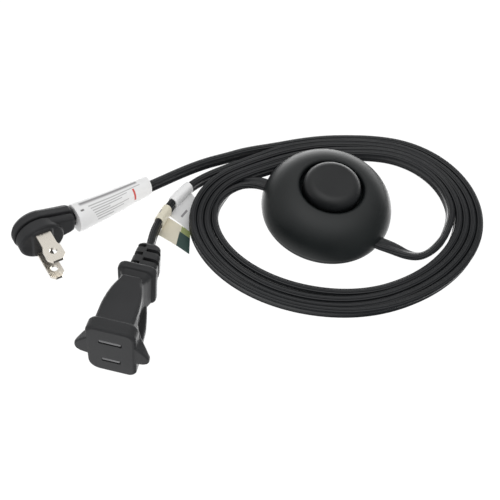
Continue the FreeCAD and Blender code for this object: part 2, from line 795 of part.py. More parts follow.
def plug_body():
    body = new_body("plug_body")
    low, high = f"{PLUG_MID} - plug_neck / 2", f"{PLUG_MID} + plug_neck / 2"
    plate = sketch(body, "XZ_Plane", f"-{PLUG_DEPTH}")
    outline(plate, [
        ("0", "0"),
        ("plug_right - plug_corner", low, "plug_corner", 1),
        ("plug_right", f"{low} + plug_corner"),
        ("plug_right", f"{high} - plug_corner", "plug_corner", 1),
        ("plug_right - plug_corner", high),
        ("0", "plug_height", "plug_height / 2", 1),
        ("-plug_height / 2", PLUG_MID, "plug_height / 2", 1),
    ])
    pad(body, plate, "plug_plate_t")
    boss = circle(sketch(body, "XZ_Plane", "-plug_boss_t"), "0", PLUG_MID, "plug_boss_d")
    pad(body, boss, "plug_boss_t")
    tails = sketch(body, "XZ_Plane")
    for side, _ in BLADE_ENDS.values():
        under = f"{PLUG_MID} {side} blade_pitch / 2 - blade_t / 2"
        rectangle(tails, "-blade_w / 2", "blade_w / 2", under, f"{under} + blade_t")
    pocket(body, tails, "blade_tail")
    stand_plug(body)


def plug_blades():
    wide_y = "(-blade_hole_y + blade_hole_d / 2)"
    for label, (side, tip_w) in BLADE_ENDS.items():
        body = new_body(label)
        blade = sketch(body, "XY_Plane", f"{PLUG_MID} {side} blade_pitch / 2 - blade_t / 2")
        half = f"({tip_w} / 2)"
        corners = [("blade_w / 2", "blade_tail"), ("-blade_w / 2", "blade_tail")]
        tip = [(f"-{half}", "-blade_len + blade_tip"), (f"-{half} + blade_tip", "-blade_len"),
               (f"{half} - blade_tip", "-blade_len"), (half, "-blade_len + blade_tip")]
        if tip_w == "blade_wide_w":
            shoulder = f"{wide_y} + blade_tip"
            tip = [("-blade_w / 2", shoulder), (f"-{half}", wide_y), *tip, (half, wide_y),
                   ("blade_w / 2", shoulder)]
        circle(outline(blade, corners + tip), "0", "-blade_hole_y", "blade_hole_d")
        pad(body, blade, "blade_t")
        stand_plug(body)


# Connector

HEAD_MID = "head_height / 2"
RELIEF_START = "collar_y + collar_t"
CLIP_REACH = "(slot_w / 2 + clip_t)"
SLOT_ENDS = {"connector_contact_neutral": ("+", "slot_len_wide"), "connector_contact_line": ("-", "slot_len")}


def middle_rows(height):
    """The lower and upper edge of something that tall, at the connector's half height."""
    return f"{HEAD_MID} - {height} / 2", f"{HEAD_MID} + {height} / 2"


def stand_connector(body):
    """The connector lies on its head's back edge and its shorter collar, so its face looks up."""
    drop = value("(head_height - collar_height) / 2")
    tilt = math.degrees(math.atan2(drop, value(f"{RELIEF_START} - head_t")))
    edge = Vector(0, value("head_t"), 0)
    stand(body, CONNECTOR_FACE, CONNECTOR_TURN, Placement(Vector(), Rotation(Vector(1, 0, 0), -tilt), edge))


def side_taper(body, half_w, inset):
    """A block that slopes from the head's height to the neck's, and ends inside the collar."""
    side = sketch(body, "YZ_Plane", f"-{half_w}")
    (head_low, head_high), (neck_low, neck_high) = middle_rows("head_height"), middle_rows("neck_height")
    end = "collar_y + collar_t / 2"
    outline(side, [
        ("head_t", f"{head_low} + {inset}"), (end, f"{neck_low} + {inset}"),
        (end, f"{neck_high} - {inset}"), ("head_t", f"{head_high} - {inset}"),
    ])
    pad(body, side, f"2 * {half_w}")


def connector_body():
    body = new_body("connector_body")
    head = rounded(sketch(body, "XZ_Plane", "-head_t"), "head_w / 2", "0", "head_height", "head_round")
    pad(body, head, "head_t")
    connector_wings(body)
    connector_plates(body)
    collar = sketch(body, "XZ_Plane", f"-({RELIEF_START})")
    rounded(collar, "collar_w / 2", *middle_rows("collar_height"), "collar_round")
    pad(body, collar, "collar_t")
    relief = sketch(body, "XZ_Plane", f"-({RELIEF_START} + relief_len)")
    rounded(relief, "relief_w / 2", *middle_rows("relief_height"), "relief_round")
    pad(body, relief, "relief_len")
    connector_slots(body)
    relief_cuts(body)
    stand_connector(body)


def connector_plates(body):
    """The upper and lower plate, which narrow towards the collar, and the web between them."""
    side_taper(body, "(plate_w / 2)", "0")
    between = sketch(body, "YZ_Plane", "plate_w / 2")
    outline(between, [
        ("head_t", "plate_t"), ("collar_y", HEAD_MID), ("head_t", "head_height - plate_t"),
    ])
    pocket(body, between, "plate_w")
    edges = sketch(body, "XY_Plane", "head_height")
    for side in ("", "-"):
        outline(edges, [
            (f"{side}plate_w / 2", "head_t + plate_run"), (f"{side}plate_w / 2", RELIEF_START),
            (f"{side}waist_w / 2", RELIEF_START), (f"{side}waist_w / 2", "collar_y"),
        ])
    pocket(body, edges, "head_height")
    side_taper(body, "(slot_len_wide / 2 + web_wall)", "web_inset")


def connector_wings(body):
    """Pointed finger grips on both sides of the head."""
    wings = sketch(body, "XZ_Plane", "-head_t")
    low, high = middle_rows("wing_height")
    for side in ("", "-"):
        root = f"{side}(head_w / 2 - wing_root)"
        outline(wings, [(root, low), (f"{side}(head_w / 2 + wing_reach)", HEAD_MID), (root, high)])
    pad(body, wings, "head_t - wing_back")


def connector_slots(body):
    """The slots in the face, and behind each the cell that holds its clip."""
    for side, length in SLOT_ENDS.values():
        middle = f"{HEAD_MID} {side} blade_pitch / 2"
        slot = sketch(body, "XZ_Plane")
        rectangle(slot, f"-{length} / 2", f"{length} / 2", f"{middle} - slot_w / 2", f"{middle} + slot_w / 2")
        pocket(body, slot, "slot_depth")
        cell = sketch(body, "XZ_Plane", "-slot_depth + clip_len + clip_back")
        low, high = f"{middle} - {CLIP_REACH}", f"{middle} + {CLIP_REACH}"
        rectangle(cell, "-slot_len / 2", "slot_len / 2", low, high)
        pocket(body, cell, "clip_len + clip_back")


def relief_cuts(body):
    """Staggered slots across the strain relief, three from the left and two from the right."""
    pitch = "(relief_len - relief_tip) / 3"
    left = [("-", n + 0.5) for n in range(3)]
    right = [("", n + 1) for n in range(2)]
    _, top = middle_rows("collar_height")
    for side, step in left + right:
        start = f"{RELIEF_START} + {step} * {pitch}"
        gap = sketch(body, "XY_Plane", top)
        rectangle(gap, f"{side}(relief_w / 2 - relief_cut_depth)", f"{side}(collar_w / 2)", start,
                  f"{start} + relief_cut")
        pocket(body, gap, "collar_height")


def connector_contacts():
    """Spring clips of folded strip, open towards the slots."""
    front, back = "slot_depth - clip_len", "slot_depth"
    fold = f"{back} - clip_t"
    for label, (side, _) in SLOT_ENDS.items():
        body = new_body(label)
        middle = f"{HEAD_MID} {side} blade_pitch / 2"
        low, high = f"{middle} - {CLIP_REACH}", f"{middle} + {CLIP_REACH}"
        inner_low, inner_high = f"{middle} - slot_w / 2", f"{middle} + slot_w / 2"
        clip = sketch(body, "YZ_Plane", "-slot_len / 2")
        outline(clip, [
            (front, low), (back, low), (back, high), (front, high),
            (front, inner_high), (fold, inner_high), (fold, inner_low), (front, inner_low),
        ])
        pad(body, clip, "slot_len")
        stand_connector(body)


# Labels


def along_lead(points, distance, length):
    """The two ends of a straight stretch round the place that is so far along a lead's runs."""
    spots = [Vector(*p) for p in points]
    for a, b in zip(spots, spots[1:]):
        if distance <= (b - a).Length:
            break
        distance -= (b - a).Length
    way = (b - a).normalize()
    middle = a + way * distance
    return middle - way * length / 2, middle + way * length / 2


def sleeve(ends, width, height, thick):
    """A thin upright oval sleeve on a lead, which lies in the bottom of it."""
    rise = Vector(0, 0, (height - value("cord_w")) / 2 - thick)
    a, b = ends[0] + rise, ends[1] + rise
    outer, inner = (
        Part.Face(flat_section(a, b - a, height - 2 * inset, width - 2 * inset, True)).extrude(b - a)
        for inset in (0, thick))
    return outer.cut(inner)


def flag(ends, reach, height, thick):
    """A thin sheet from under a sleeve to the floor, on the coil's side of the lead."""
    a, b = ends
    way = b - a
    drop = min(a.z, b.z) - height / 2
    out = Vector(-way.y, way.x, 0).normalize() * reach - Vector(0, 0, max(0, drop - thick))
    low = Vector(0, 0, -height / 2)
    corners = [a + low, b + low, b + low + out, a + low + out]
    return Part.Face(Part.makePolygon(corners + corners[:1])).extrude(Vector(0, 0, thick))


def labels():
    thick = value("sleeve_t")
    wrap = keep(doc.addObject("Part::Feature", "wrap"), "plug_label")
    ends = along_lead(PLUG_LEAD, value("sleeve_at"), value("sleeve_len"))
    wrap.Shape = sleeve(ends, value("sleeve_w"), value("sleeve_height"), thick)
    for label, (distance, reach) in TAGS.items():
        ends = along_lead(CONNECTOR_LEAD, value(distance), value("tag_len"))
        tag = sleeve(ends, value("cord_t + 2 * sleeve_t"), value("tag_height"), thick)
        made = keep(doc.addObject("Part::Feature", label), label)
        made.Shape = tag.fuse(flag(ends, value(reach), value("cord_w + 2 * sleeve_t"), thick))


def write_parts():
    faults = [o.Name for o in doc.Objects if {"Invalid", "Error"} & set(o.State)]
    faults += [p.Label for p in pieces if p.Shape.isNull() or not p.Shape.isValid()]
    if faults:
        raise ValueError(f"these failed: {faults}")
    os.makedirs("parts", exist_ok=True)
    for piece in pieces:
        piece.Shape.exportStep(f"parts/{piece.Label}.step")
    print(len(pieces), "pieces written")


top_cover()
base_plate()
foot_button()
button_springs()
drive_pawl()
ratchet_rotor()
contacts()
conductors()
cord_clamps()
housing_screws()
rubber_feet()
plug_body()
plug_blades()
connector_body()
connector_contacts()
cord_leads()
coil()
labels()
doc.recompute()
write_parts()
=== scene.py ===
"""Looks of a lamp foot switch on a coiled flat cord, with a flat plug and an outlet connector.

Lengths are written in millimetres and turned into metres where a piece is placed.
"""

import json
import math

import bmesh
import bpy
from mathutils import Matrix, Vector


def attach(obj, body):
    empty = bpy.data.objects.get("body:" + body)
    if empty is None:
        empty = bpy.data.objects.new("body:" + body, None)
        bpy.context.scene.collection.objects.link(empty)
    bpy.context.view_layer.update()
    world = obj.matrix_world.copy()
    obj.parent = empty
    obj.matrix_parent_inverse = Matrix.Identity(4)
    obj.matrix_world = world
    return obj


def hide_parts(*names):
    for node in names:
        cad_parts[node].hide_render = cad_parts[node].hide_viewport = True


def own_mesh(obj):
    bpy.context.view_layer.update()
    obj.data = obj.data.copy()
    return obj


MM = 0.001
UP = Vector((0, 0, 1))

# Camera, found from the standard sizes of the blades and slots
CAMERA_PLACE = (51.5, -200.0, 269.0)
CAMERA_TURNS = ((23.5, "Z"), (33.1, "X"), (9.1, "Z"))
CAMERA_LENS = 50.4
CAMERA_SENSOR = 36.0

# Switch: the well round the button, where shade is painted, its lip, and the seam between cover and base,
# where a highlight is painted
WELL_R = 14.6
LIP_R = 16.6
SEAM_Z = 3.8
SEAM_W = 0.5
SEAM_EDGE = 0.08

# Flat two-wire cord: its section, the valley between the wires and the ribs round each
CORD_W = 6.7
CORD_T = 3.4
CORD_VALLEY = 0.42
RIB_DEPTH = 0.2
RIBS = 7
LOBE_POINTS = 56
LOBE_REACH = 118
CORD_RESOLUTION = 5

# Coil: an oval along which both cords wind side by side, standing on edge; angles round it are in degrees,
# and its long axis, turned from X by COIL_TURN, lies at the angle COIL_LEAN
COIL_CENTRE = Vector((5.69, -0.80))
COIL_TURN = math.radians(38.1)
COIL_LEAN = 14.6
COIL_AXES = (56.3, 39.7)
COIL_STRETCH = 1.004
COIL_STEP = 12
COIL_Z = 3.4
# Growth of the oval each half turn, at its sides, its back and its front
SIDE_PITCH = 3.4
BACK_PITCH = 2.36
FRONT_PITCH = 3.38
# Unevenness of the turns: sideways at the back and front, and upwards, each with its waves per turn
WANDER, WANDER_WAVES = 0.8, 1.35
LIFT, LIFT_WAVES = 0.8, 0.9
# Angles, and how far the turns sag inwards there
COIL_INSETS = ((0, 1.7), (20, 1.3), (36, 0.5), (50, 0.0), (64, 0.5), (90, 5.5), (116, 8.6), (137, 10.0),
               (150, 8.6), (163, 5.4), (180, 2.2), (197, 0.0), (290, 0.0), (312, 1.4), (338, 2.1),
               (360, 1.7))
# Angles where each cord joins and leaves the oval, and where its growth starts
LONG_TURNS = (367, 1207, 360)
SHORT_TURNS = (198, 846, 180)

# Leads: x, y, z and the twist in degrees, 0 lying flat and 90 standing on edge
SWITCH_RIGHT = ((17.0, -6.0, 5.45, 0), (24.0, -6.0, 5.45, 0), (30.4, -5.6, 5.45, 0), (35.0, -4.6, 5.3, 6),
                (39.6, -3.9, 5.0, 16), (44.2, -3.3, 4.6, 34), (48.9, -0.9, 4.1, 54), (52.2, 4.1, 3.7, 74),
                (54.1, 10.7, 3.5, 88), (54.9, 17.0, 3.4, 90))
SWITCH_LEFT = ((-17.0, -6.0, 5.45, 0), (-24.0, -6.0, 5.45, 0), (-30.6, -6.3, 5.45, 0),
               (-36.2, -8.6, 5.2, 10), (-40.4, -12.8, 4.7, 34), (-42.8, -18.4, 4.1, 62),
               (-43.5, -24.4, 3.6, 84), (-43.0, -30.4, 3.4, 90))
TO_PLUG = ((-49.3, 6.6, 3.4, 90), (-54.5, -1.0, 3.4, 90), (-61.5, -10.3, 3.4, 90), (-67.1, -20.2, 3.4, 90),
           (-71.8, -30.3, 3.5, 90), (-75.5, -38.3, 3.6, 90), (-79.6, -47.7, 4.2, 90),
           (-83.4, -58.1, 5.4, 90), (-87.0, -67.5, 7.2, 90), (-90.0, -74.9, 8.4, 90))
TO_CONNECTOR = ((-45.8, 0.9, 3.4, 90), (-50.8, -7.4, 3.4, 90), (-56.5, -17.9, 3.4, 90),
                (-59.6, -27.0, 3.6, 90), (-60.7, -38.1, 4.0, 90), (-60.2, -46.8, 4.6, 90),
                (-58.6, -55.3, 5.8, 90), (-55.5, -63.9, 7.6, 90), (-51.5, -71.2, 9.0, 90))

# Places of the plug and the connector: foot of the face, turn about Z, and how each leans
PLUG_FACE = (-91.9, -92.5)
PLUG_TURN = 64.5
PLUG_ROLL = 7.0
PLUG_MID = 10.5
CONNECTOR_FACE = (-34.1, -121.6)
CONNECTOR_TURN = 19.0
CONNECTOR_TILT = 7.47
HEAD_T = 6.0


def turned(degrees, axis):
    return Matrix.Rotation(math.radians(degrees), 4, axis)


def moved(x, y, z):
    return Matrix.Translation((x, y, z))


PLUG_PLACE = (moved(*PLUG_FACE, 0) @ turned(PLUG_TURN, "Z")
              @ moved(0, 0, PLUG_MID) @ turned(PLUG_ROLL, "Y") @ moved(0, 0, -PLUG_MID))
CONNECTOR_PLACE = (moved(*CONNECTOR_FACE, 0) @ turned(CONNECTOR_TURN, "Z")
                   @ moved(0, HEAD_T, 0) @ turned(-CONNECTOR_TILT, "X") @ moved(0, -HEAD_T, 0))


def linked(name, data):
    piece = bpy.data.objects.new(name, data)
    bpy.context.scene.collection.objects.link(piece)
    return piece


# Materials

# Plastic: patches per metre and how they change its gloss and shade, and the strength of its grain
PATCH_SCALE = 60
PATCH_GLOSS = (-0.05, 0.06)
PATCH_GAIN, PATCH_LIFT = 1.3, 0.002
GRAIN_STRENGTH = 0.5
PLASTIC_DETAIL = 2
# Housing: the sheen in the well, cut low there as painted shade, and outside it, and the colour of the
# painted highlight at the seam
WELL_SHADE_SHEEN, COVER_SHEEN = 0.02, 0.5
SEAM_HIGHLIGHT_GREY = (0.05, 0.052, 0.052)
# Metal: drawn lines per metre and how they change its gloss, and their depth in metres
LINE_SCALE, LINE_DETAIL = 900, 4
LINE_GLOSS = (-0.08, 0.1)
LINE_DEPTH, LINE_STRENGTH = 0.000004, 0.3
# Label film: its roughness, and its waves per metre with their depth in metres
FILM_ROUGHNESS = 0.42
FILM_SCALE, FILM_DETAIL = 260, 3
FILM_DEPTH, FILM_STRENGTH = 0.00012, 0.5


def set_inputs(node, values):
    for socket, value in values.items():
        node.inputs[socket].default_value = value


def plain_material(name, colour, **sockets):
    """A principled material; further sockets are given by name."""
    made = bpy.data.materials.new(name)
    made.use_nodes = True
    shader = made.node_tree.nodes["Principled BSDF"]
    shader.inputs["Base Color"].default_value = (*colour, 1)
    set_inputs(shader, {socket.replace("_", " "): value for socket, value in sockets.items()})
    return made, made.node_tree, shader


def noise_node(tree, scale, detail, stretch=(1, 1, 1)):
    """Noise in object coordinates, with scale in waves per metre."""
    place = tree.nodes.new("ShaderNodeTexCoord")
    mapping = tree.nodes.new("ShaderNodeMapping")
    mapping.inputs["Scale"].default_value = stretch
    noise = tree.nodes.new("ShaderNodeTexNoise")
    set_inputs(noise, {"Scale": scale, "Detail": detail})
    tree.links.new(place.outputs["Object"], mapping.inputs["Vector"])
    tree.links.new(mapping.outputs["Vector"], noise.inputs["Vector"])
    return noise.outputs["Fac"]


def ranged(tree, source, low, high, start=0.3, end=0.7):
    """The source's range from start to end, spread over low to high."""
    spread = tree.nodes.new("ShaderNodeMapRange")
    set_inputs(spread, {"From Min": start, "From Max": end, "To Min": low, "To Max": high})
    tree.links.new(source, spread.inputs["Value"])
    return spread.outputs["Result"]


def two_colours(tree, mask, first, second):
    """A colour output that goes from first to second with the mask."""
    mix = tree.nodes.new("ShaderNodeMix")
    mix.data_type = "RGBA"
    for socket, value in (("A", first), ("B", second)):
        entry = next(i for i in mix.inputs if i.name == socket and i.type == "RGBA")
        if isinstance(value, tuple):
            entry.default_value = (*value, 1)
        else:
            tree.links.new(value, entry)
    factor = next(i for i in mix.inputs if i.name == "Factor" and i.type == "VALUE")
    tree.links.new(mask, factor)
    return next(o for o in mix.outputs if o.type == "RGBA")


def bump(tree, shader, height, distance, strength):
    node = tree.nodes.new("ShaderNodeBump")
    set_inputs(node, {"Strength": strength, "Distance": distance})
    tree.links.new(height, node.inputs["Height"])
    tree.links.new(node.outputs["Normal"], shader.inputs["Normal"])


def math_node(tree, operation, first, second):
    node = tree.nodes.new("ShaderNodeMath")
    node.operation = operation
    for entry, value in zip(node.inputs, (first, second)):
        if isinstance(value, (int, float)):
            entry.default_value = value
        else:
            tree.links.new(value, entry)
    return node.outputs["Value"]


def between(tree, value, low, high, edge):
    """1 where value lies between low and high, 0 elsewhere, with soft edges."""
    rise = ranged(tree, value, 0, 1, low - edge, low + edge)
    fall = ranged(tree, value, 1, 0, high - edge, high + edge)
    return math_node(tree, "MULTIPLY", rise, fall)


def parts_of(tree, coordinates):
    """The X, Y and Z of a piece's object or UV coordinates."""
    place = tree.nodes.new("ShaderNodeTexCoord")
    split = tree.nodes.new("ShaderNodeSeparateXYZ")
    tree.links.new(place.outputs[coordinates], split.inputs["Vector"])
    return split.outputs


def grained_plastic(name, colour, roughness, grain=1800, depth=0.00004, sheen=0.35):
    """Moulded plastic: fine grain, and broad patches that differ a little in gloss and shade."""
    made, tree, shader = plain_material(name, colour, Specular_IOR_Level=sheen)
    patches = noise_node(tree, PATCH_SCALE, PLASTIC_DETAIL)
    gloss = ranged(tree, patches, *(roughness + change for change in PATCH_GLOSS))
    tree.links.new(gloss, shader.inputs["Roughness"])
    lighter = tuple(min(1, c * PATCH_GAIN + PATCH_LIFT) for c in colour)
    shade = two_colours(tree, ranged(tree, patches, 0, 1), colour, lighter)
    tree.links.new(shade, shader.inputs["Base Color"])
    bump(tree, shader, noise_node(tree, grain, PLASTIC_DETAIL), depth, GRAIN_STRENGTH)
    return made


def housing_plastic():
    """The housing's black plastic: its sheen cut low in the well round the button as painted shade, and a
    painted highlight at the seam.
    """
    made = grained_plastic("housing_black", (0.0075, 0.0095, 0.0098), 0.42)
    tree = made.node_tree
    shader = tree.nodes["Principled BSDF"]
    x, y, z = parts_of(tree, "Object")
    square = math_node(tree, "ADD", math_node(tree, "MULTIPLY", x, x), math_node(tree, "MULTIPLY", y, y))
    radius = math_node(tree, "POWER", square, 0.5)
    # Painted shade: the sheen falls to almost none in the well round the button
    sheen = ranged(tree, radius, WELL_SHADE_SHEEN, COVER_SHEEN, WELL_R * MM, LIP_R * MM)
    tree.links.new(sheen, shader.inputs["Specular IOR Level"])
    black = shader.inputs["Base Color"].links[0].from_socket
    # Painted highlight: a lighter band along the seam between cover and base
    seam_highlight = between(tree, z, SEAM_Z * MM, (SEAM_Z + SEAM_W) * MM, SEAM_EDGE * MM)
    tree.links.new(two_colours(tree, seam_highlight, black, SEAM_HIGHLIGHT_GREY), shader.inputs["Base Color"])
    return made


def drawn_metal(name, colour, roughness, stretch=(1, 1, 1)):
    """Bright metal with fine lines in its gloss."""
    made, tree, shader = plain_material(name, colour, Metallic=1.0)
    lines = noise_node(tree, LINE_SCALE, LINE_DETAIL, stretch)
    gloss = ranged(tree, lines, *(roughness + change for change in LINE_GLOSS))
    tree.links.new(gloss, shader.inputs["Roughness"])
    bump(tree, shader, lines, LINE_DEPTH, LINE_STRENGTH)
    return made


def painted(name, ground, fields):
    """Nearly smooth label film with plain fields, each a colour, the ranges of UV it covers and its edge."""
    made, tree, shader = plain_material(name, ground, Roughness=FILM_ROUGHNESS)
    bump(tree, shader, noise_node(tree, FILM_SCALE, FILM_DETAIL), FILM_DEPTH, FILM_STRENGTH)
    along, across, _ = parts_of(tree, "UV")
    colour = ground
    for paint, u, v, edge in fields:
        inside = math_node(tree, "MULTIPLY", between(tree, along, *u, edge), between(tree, across, *v, edge))
        colour = two_colours(tree, inside, colour, paint)
    if fields:
        tree.links.new(colour, shader.inputs["Base Color"])
    return made


def slot_materials():
    """The materials of the solids that are shown as they are, by slot."""
    return {
        "housing": housing_plastic(),
        "button": grained_plastic("button_black", (0.0085, 0.0095, 0.0102), 0.42, sheen=0.5),
        "feet": grained_plastic("foot_rubber", (0.025, 0.025, 0.025), 0.75, grain=1400, sheen=0.2),
        "blades": drawn_metal("blade_plating", (0.95, 0.895, 0.80), 0.3, (0.15, 1, 1)),
        "brass": drawn_metal("brass_strip", (0.75, 0.58, 0.27), 0.3),
        "wire": grained_plastic("wire_sheath", (0.03, 0.03, 0.03), 0.45),
        "steel": drawn_metal("bright_steel", (0.6, 0.6, 0.6), 0.28),
        "works": grained_plastic("nylon", (0.78, 0.77, 0.72), 0.38, sheen=0.5),
    }


# Shapes

# Angles in degrees above which an edge stays sharp
SOLID_EDGE, MOULDING_EDGE, SLOT_LIGHT_EDGE, LABEL_EDGE = 30, 35, 40, 50
# Skins of the mouldings: the grain of each, and how they are softened
PLUG_VOXEL, CONNECTOR_VOXEL = 0.2, 0.22
SOFT_FACTOR, SOFT_ROUNDS = 0.5, 2
CORNER_STEPS = 6
LEAST_RADIUS = 0.4


def closed_mesh(name, solids):
    """One mesh of closed lofts: each solid is a list of rings with equal numbers of points."""
    points, faces = [], []
    for rings in solids:
        start, count = len(points), len(rings[0])
        points += [point for ring in rings for point in ring]
        for r in range(len(rings) - 1):
            low = start + r * count
            for i in range(count):
                j = (i + 1) % count
                faces.append((low + i, low + j, low + count + j, low + count + i))
        last = start + (len(rings) - 1) * count
        faces.append(tuple(range(start + count - 1, start - 1, -1)))
        faces.append(tuple(range(last, last + count)))
    mesh = bpy.data.meshes.new(name)
    mesh.from_pydata(points, [], faces)
    return outward(mesh)


def outward(mesh):
    """Turns a mesh's faces outwards."""
    work = bmesh.new()
    work.from_mesh(mesh)
    bmesh.ops.recalc_face_normals(work, faces=work.faces)
    work.to_mesh(mesh)
    work.free()
    return mesh


def finished_mesh(piece):
    """The piece's mesh with its modifiers applied."""
    graph = bpy.context.evaluated_depsgraph_get()
    made = bpy.data.meshes.new_from_object(piece.evaluated_get(graph))
    piece.modifiers.clear()
    return made


def smooth(mesh, angle):
    """Smooth shading, with edges sharper than an angle in degrees left sharp."""
    mesh.shade_smooth()
    mesh.set_sharp_from_angle(angle=math.radians(angle))


def moulded(name, solids, place, voxel, cuts=()):
    """Lofts grown into one skin with soft edges, and then cut."""
    piece = linked(name, closed_mesh(name, solids))
    skin = piece.modifiers.new("skin", "REMESH")
    skin.mode = "VOXEL"
    skin.voxel_size = voxel
    soft = piece.modifiers.new("soft", "SMOOTH")
    soft.factor = SOFT_FACTOR
    soft.iterations = SOFT_ROUNDS
    cutter = None
    if cuts:
        cutter = linked(name + "_cuts", closed_mesh(name + "_cuts", cuts))
        cut = piece.modifiers.new("cut", "BOOLEAN")
        cut.operation = "DIFFERENCE"
        cut.solver = "EXACT"
        cut.object = cutter
    piece.data = finished_mesh(piece)
    if cutter:
        bpy.data.objects.remove(cutter)
    piece.data.transform(Matrix.Scale(MM, 4) @ place)
    smooth(piece.data, MOULDING_EDGE)
    return piece


def corner(centre, radius, start):
    """Points of a quarter turn about centre, from start degrees."""
    angles = [math.radians(start + 90 * i / CORNER_STEPS) for i in range(CORNER_STEPS + 1)]
    return [(centre[0] + radius * math.cos(a), centre[1] + radius * math.sin(a)) for a in angles]


def rounded(left, right, low, high, radii):
    """A rectangle's outline with corner radii from low left, counter-clockwise."""
    a, b, c, d = radii if isinstance(radii, tuple) else (radii,) * 4
    return (corner((left + a, low + a), a, 180) + corner((right - b, low + b), b, 270)
            + corner((right - c, high - c), c, 0) + corner((left + d, high - d), d, 90))


def along_y(outline, y):
    return [(x, y, z) for x, z in outline]


def ring_y(left, right, low, high, radii, y, inset=0.0):
    """A rounded rectangle across Y, drawn in by an inset."""
    sizes = radii if isinstance(radii, tuple) else (radii,) * 4
    return along_y(rounded(left + inset, right - inset, low + inset, high - inset,
                           tuple(max(LEAST_RADIUS, r - inset) for r in sizes)), y)


def block(x, y, z):
    """A plain box as two rings."""
    base = [(x[0], y[0]), (x[1], y[0]), (x[1], y[1]), (x[0], y[1])]
    return [[(a, b, level) for a, b in base] for level in z]


# Camera, floor and light

FLOOR_HALF = 3.0
WALL_R = 2.6
WALL_LEVELS = (-0.5, 3.0)
WALL_STEPS = 64
# Lamps: name, place in metres, aimed at, size in metres and power in watts; glossy pieces don't mirror them
LIGHTS = (
    ("front_light", (0.0, -0.80, 0.30), (-0.04, -0.10, 0.01), 0.4, 1.0),
    ("right_light", (1.05, -0.30, 0.35), (-0.05, -0.06, 0.01), 0.7, 4.2),
)
# Soft glows of the room: the way to each, the cosine where it ends, and its strength; those below the
# horizon are the floor as glossy pieces mirror it
ROOM_GLOWS = (
    ((0.0, 0.0, 1.0), 0.35, 0.72),
    ((0.0, -0.1, 0.995), 0.8, 0.65),
    ((-0.16, 0.62, 0.77), 0.85, 0.15),
    ((0.88, 0.23, 0.42), 0.35, 0.18),
    ((-0.88, -0.23, 0.42), 0.35, 0.42),
    ((-0.25, 0.78, -0.57), 0.45, 3.8),
    ((-0.79, -0.2, -0.58), 0.35, 0.2),
    ((0.0, -0.6, -0.8), 0.75, 0.85),
)


def make_camera():
    data = bpy.data.cameras.new("camera")
    data.sensor_width = CAMERA_SENSOR
    data.lens = CAMERA_LENS
    camera = linked("camera", data)
    place = moved(*(MM * v for v in CAMERA_PLACE))
    for degrees, axis in CAMERA_TURNS:
        place = place @ turned(degrees, axis)
    camera.matrix_world = place
    bpy.context.scene.camera = camera


def make_wall():
    """A white wall round the floor, which only the camera sees."""
    points, faces = [], []
    for i in range(WALL_STEPS):
        a = 2 * math.pi * i / WALL_STEPS
        points += [(WALL_R * math.cos(a), WALL_R * math.sin(a), z) for z in WALL_LEVELS]
        j = (i + 1) % WALL_STEPS
        faces.append((2 * i, 2 * j, 2 * j + 1, 2 * i + 1))
    mesh = bpy.data.meshes.new("wall")
    mesh.from_pydata(points, [], faces)
    wall = linked("wall", mesh)
    wall.visible_diffuse = False
    wall.visible_glossy = False
    wall.visible_shadow = False
    return wall


def make_floor():
    """A sheet and a wall that glow white, so that they stay white round the object."""
    half = FLOOR_HALF
    corners = [(-half, -half, 0), (half, -half, 0), (half, half, 0), (-half, half, 0)]
    mesh = bpy.data.meshes.new("floor")
    mesh.from_pydata(corners, [], [(0, 1, 2, 3)])
    floor = linked("floor", mesh)
    floor.visible_glossy = False
    wall = make_wall()
    white, _, _ = plain_material("floor_white", (0.1, 0.1, 0.1), Roughness=0.9, Specular_IOR_Level=0.0,
                                 Emission_Color=(1, 1, 1, 1), Emission_Strength=1.0)
    for piece in (floor, wall):
        piece.data.materials.append(white)


def facing(tree, direction):
    """How far the room's direction agrees with a given one."""
    place = tree.nodes.new("ShaderNodeTexCoord")
    node = tree.nodes.new("ShaderNodeVectorMath")
    node.operation = "DOT_PRODUCT"
    node.inputs[1].default_value = direction
    tree.links.new(place.outputs["Generated"], node.inputs[0])
    return node.outputs["Value"]


def room_light(tree):
    """The room as a sum of soft white glows."""
    total = 0.0
    for direction, edge, strength in ROOM_GLOWS:
        glow = ranged(tree, facing(tree, direction), 0.0, strength, edge, 1.0)
        total = math_node(tree, "ADD", total, glow)
    background = tree.nodes["Background"]
    background.inputs["Color"].default_value = (1, 1, 1, 1)
    tree.links.new(total, background.inputs["Strength"])


def make_lights():
    for name, place, target, size, power in LIGHTS:
        data = bpy.data.lights.new(name, "AREA")
        data.size = size
        data.energy = power
        lamp = linked(name, data)
        lamp.visible_glossy = False
        lamp.location = place
        lamp.rotation_euler = (Vector(target) - Vector(place)).to_track_quat("-Z", "Y").to_euler()
    world = bpy.data.worlds.new("room")
    world.use_nodes = True
    room_light(world.node_tree)
    bpy.context.scene.world = world
    bpy.context.scene.view_settings.view_transform = "Standard"


# Cords

def cord_outline():
    """The cord's section: two ribbed lobes with a valley between."""
    radius = CORD_T / 2
    offset = CORD_W / 2 - radius
    lobe = []
    for i in range(LOBE_POINTS + 1):
        angle = math.radians(LOBE_REACH * (2 * i / LOBE_POINTS - 1))
        reach = radius - RIB_DEPTH * (0.5 - 0.5 * math.cos(2 * math.pi * RIBS * i / LOBE_POINTS))
        lobe.append((offset + reach * math.cos(angle), reach * math.sin(angle)))
    valley = radius - CORD_VALLEY
    return lobe + [(0.0, valley)] + [(-x, -y) for x, y in lobe] + [(0.0, -valley)]


